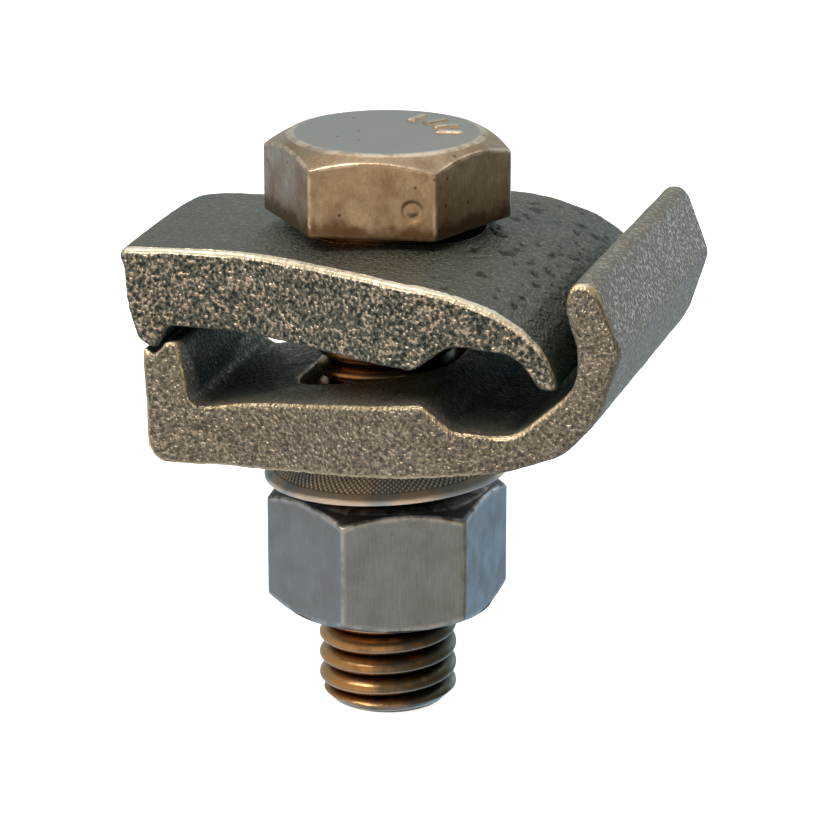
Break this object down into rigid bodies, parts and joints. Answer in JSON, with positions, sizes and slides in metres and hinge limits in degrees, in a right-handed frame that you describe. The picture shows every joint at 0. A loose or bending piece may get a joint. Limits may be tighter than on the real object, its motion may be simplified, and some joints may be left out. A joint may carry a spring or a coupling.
{
  "type": "ground clamp",
  "caption": "Cast bronze ground clamp: a rocking upper jaw and a hooked lower jaw drawn together by a hexagon bolt, dished washer and nut, to bond a cable to a flat bar.",
  "frame": {"origin": "on the flat floor of the bar pocket in the lower jaw, at mid-width, 11 mm from the bolt's axis", "axes": "+Z along the bolt towards its head, +Y along the two grooves, +X from the bar pocket to the cable hook"},
  "size_m": [0.0469, 0.0346, 0.0529],
  "materials": {
    "lower_casting": "sand-cast bronze with a dark patina and bright worn grains",
    "upper_casting": "coarse sand-cast bronze, dark grey-green patina with copper-beige grains",
    "bolt_bronze": "brushed bronze with brown tarnish; orange bronze in the thread",
    "washer_metal": "knurled, grey with a coppery cast",
    "nut_metal": "vertical brushing, silver-grey with a faint purple tint"
  },
  "bodies": {
    "lower_jaw": {"lower_jaw": "lower_casting"},
    "upper_jaw": {"upper_jaw": "upper_casting"},
    "bolt": {"hex_bolt": "bolt_bronze"},
    "washer": {"conical_washer": "washer_metal"},
    "nut": {"hex_nut": "nut_metal"}
  },
  "joints": [
    {"name": "bolt_lift", "type": "slide", "parent": "lower_jaw", "child": "bolt", "axis": [0, 0, 1], "range_m": [0, 0.005]},
    {"name": "nut_spin", "type": "hinge", "parent": "lower_jaw", "child": "nut", "pos_m": [0.011, 0, -0.0149], "axis": [0, 0, 1], "range_deg": [-925, 0]},
    {"name": "upper_jaw_pivot", "type": "hinge", "parent": "lower_jaw", "child": "upper_jaw", "pos_m": [-0.0074, 0, 0.0047], "axis": [0, -1, 0], "range_deg": [0, 10.5]},
    {"name": "washer_spin", "type": "hinge", "parent": "lower_jaw", "child": "washer", "pos_m": [0.011, 0, -0.0082], "axis": [-0.0558, 0, 0.9984], "continuous": true}
  ],
  "couplings": [
    {"joint": "nut_spin", "follows": "bolt_lift", "rad_per_m": -3215.9},
    {"joint": "upper_jaw_pivot", "follows": "bolt_lift", "rad_per_m": 36}
  ]
}
